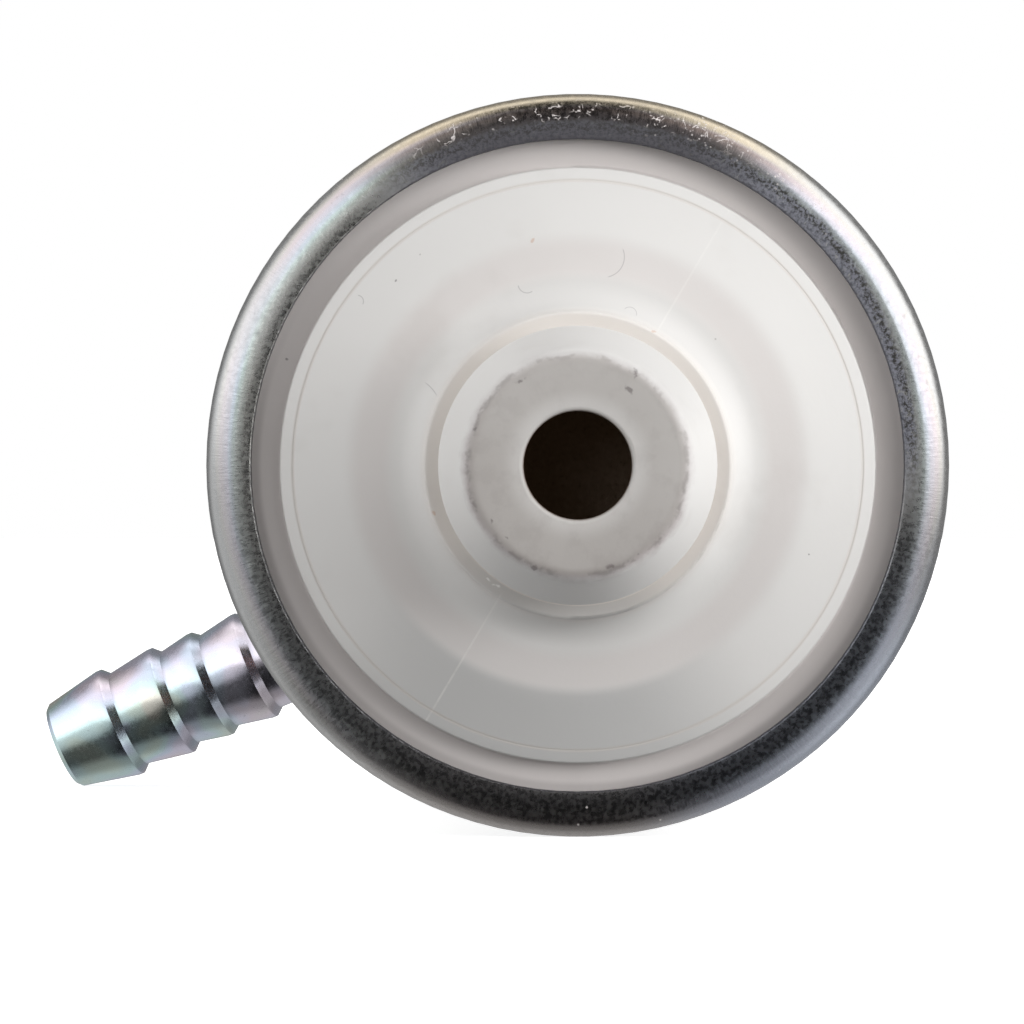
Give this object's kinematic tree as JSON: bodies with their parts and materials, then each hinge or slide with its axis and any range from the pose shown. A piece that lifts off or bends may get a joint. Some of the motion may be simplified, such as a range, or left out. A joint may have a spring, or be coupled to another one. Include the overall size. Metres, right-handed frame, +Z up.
{
  "type": "electric fuel pump",
  "caption": "In-line electric fuel pump: steel casing with rolled ends, plastic inlet spigot, rotor pump, motor, check valve, banjo hose tail and stud terminals.",
  "frame": {"origin": "centre of the casing's cylindrical land, on the pump axis", "axes": "-Y is the pump axis towards the inlet spigot, +Y towards the outlet fitting, +X to the right seen from the inlet end, +Z up as the pump lies on its side"},
  "size_m": [0.0691, 0.1514, 0.052],
  "materials": {
    "zinc_steel": "zinc plated steel, faint iridescence",
    "white_plastic": "natural moulded plastic, satin",
    "black_plastic": "glass filled moulded plastic",
    "sintered_steel": "sintered and ground steel",
    "hard_steel": "ground steel",
    "core_steel": "stacked sheet steel",
    "flux_steel": "plain mild steel",
    "spring_steel": "spring wire and strip",
    "ferrite": "sintered ferrite",
    "copper": "bare and enamelled copper",
    "bronze": "sintered bronze",
    "brass": "drawn brass",
    "carbon": "pressed carbon",
    "insulation": "moulded insulation",
    "seal_rubber": "moulded rubber"
  },
  "bodies": {
    "root": {"casing_tube": "zinc_steel", "inlet_cover": "white_plastic", "inlet_seal": "seal_rubber", "intake_plate": "sintered_steel", "pump_ring": "sintered_steel", "discharge_plate": "sintered_steel", "front_bush": "bronze", "rear_bush": "bronze", "pump_screws": "hard_steel", "relief_spring": "spring_steel", "relief_spring_stop": "brass", "flux_ring": "flux_steel", "magnet_right": "ferrite", "magnet_left": "ferrite", "magnet_clip_top": "spring_steel", "magnet_clip_bottom": "spring_steel", "brush_guide_right": "brass", "brush_guide_left": "brass", "brush_spring_right": "spring_steel", "brush_spring_left": "spring_steel", "brush_lead_right": "copper", "brush_lead_left": "copper", "outlet_cover": "black_plastic", "outlet_seal": "seal_rubber", "valve_body": "zinc_steel", "check_spring": "spring_steel", "check_spring_stop": "brass", "valve_washer": "copper", "banjo_washer_lower": "copper", "banjo_washer_upper": "copper", "outlet_banjo": "zinc_steel", "cap_nut": "zinc_steel", "stud_m5": "zinc_steel", "stud_m4": "zinc_steel", "flat_washer_m5": "zinc_steel", "flat_washer_m4": "zinc_steel", "nuts_m5": "brass", "nuts_m4": "brass", "spring_washer_m5": "zinc_steel", "spring_washer_m4": "zinc_steel", "terminal_seals": "seal_rubber"},
    "armature": {"shaft": "hard_steel", "armature_core": "core_steel", "front_insulator": "insulation", "rear_insulator": "insulation", "winding": "copper", "spacer_sleeve": "hard_steel", "front_thrust_washer": "brass", "rear_thrust_washer": "brass", "commutator_hub": "insulation", "commutator_segments": "copper", "inner_rotor": "sintered_steel"},
    "outer_rotor": {"outer_rotor": "sintered_steel"},
    "check_ball": {"check_ball": "hard_steel"},
    "relief_ball": {"relief_ball": "hard_steel"},
    "brush_right": {"brush_right": "carbon"},
    "brush_left": {"brush_left": "carbon"}
  },
  "joints": [
    {"name": "armature_spin", "type": "hinge", "parent": "root", "child": "armature", "pos_m": [0, 0, 0], "axis": [0, 1, 0], "continuous": true},
    {"name": "outer_rotor_spin", "type": "hinge", "parent": "root", "child": "outer_rotor", "pos_m": [0, 0, 0.0015], "axis": [0, 1, 0], "continuous": true},
    {"name": "check_valve_lift", "type": "slide", "parent": "root", "child": "check_ball", "axis": [0, 1, 0], "range_m": [0, 0.002], "stiffness_N_per_m": 150, "springref_m": -0.003, "deforming": ["check_spring"]},
    {"name": "relief_valve_lift", "type": "slide", "parent": "root", "child": "relief_ball", "axis": [0, -1, 0], "range_m": [0, 0.002], "stiffness_N_per_m": 700, "springref_m": -0.0041, "deforming": ["relief_spring"]},
    {"name": "brush_right_travel", "type": "slide", "parent": "root", "child": "brush_right", "axis": [0, 1, 0], "range_m": [0, 0.0025], "stiffness_N_per_m": 300, "springref_m": -0.006, "deforming": ["brush_spring_right", "brush_lead_right"]},
    {"name": "brush_left_travel", "type": "slide", "parent": "root", "child": "brush_left", "axis": [0, 1, 0], "range_m": [0, 0.0025], "stiffness_N_per_m": 300, "springref_m": -0.006, "deforming": ["brush_spring_left", "brush_lead_left"]}
  ],
  "couplings": [
    {"joint": "outer_rotor_spin", "follows": "armature_spin", "ratio": 0.85714}
  ]
}
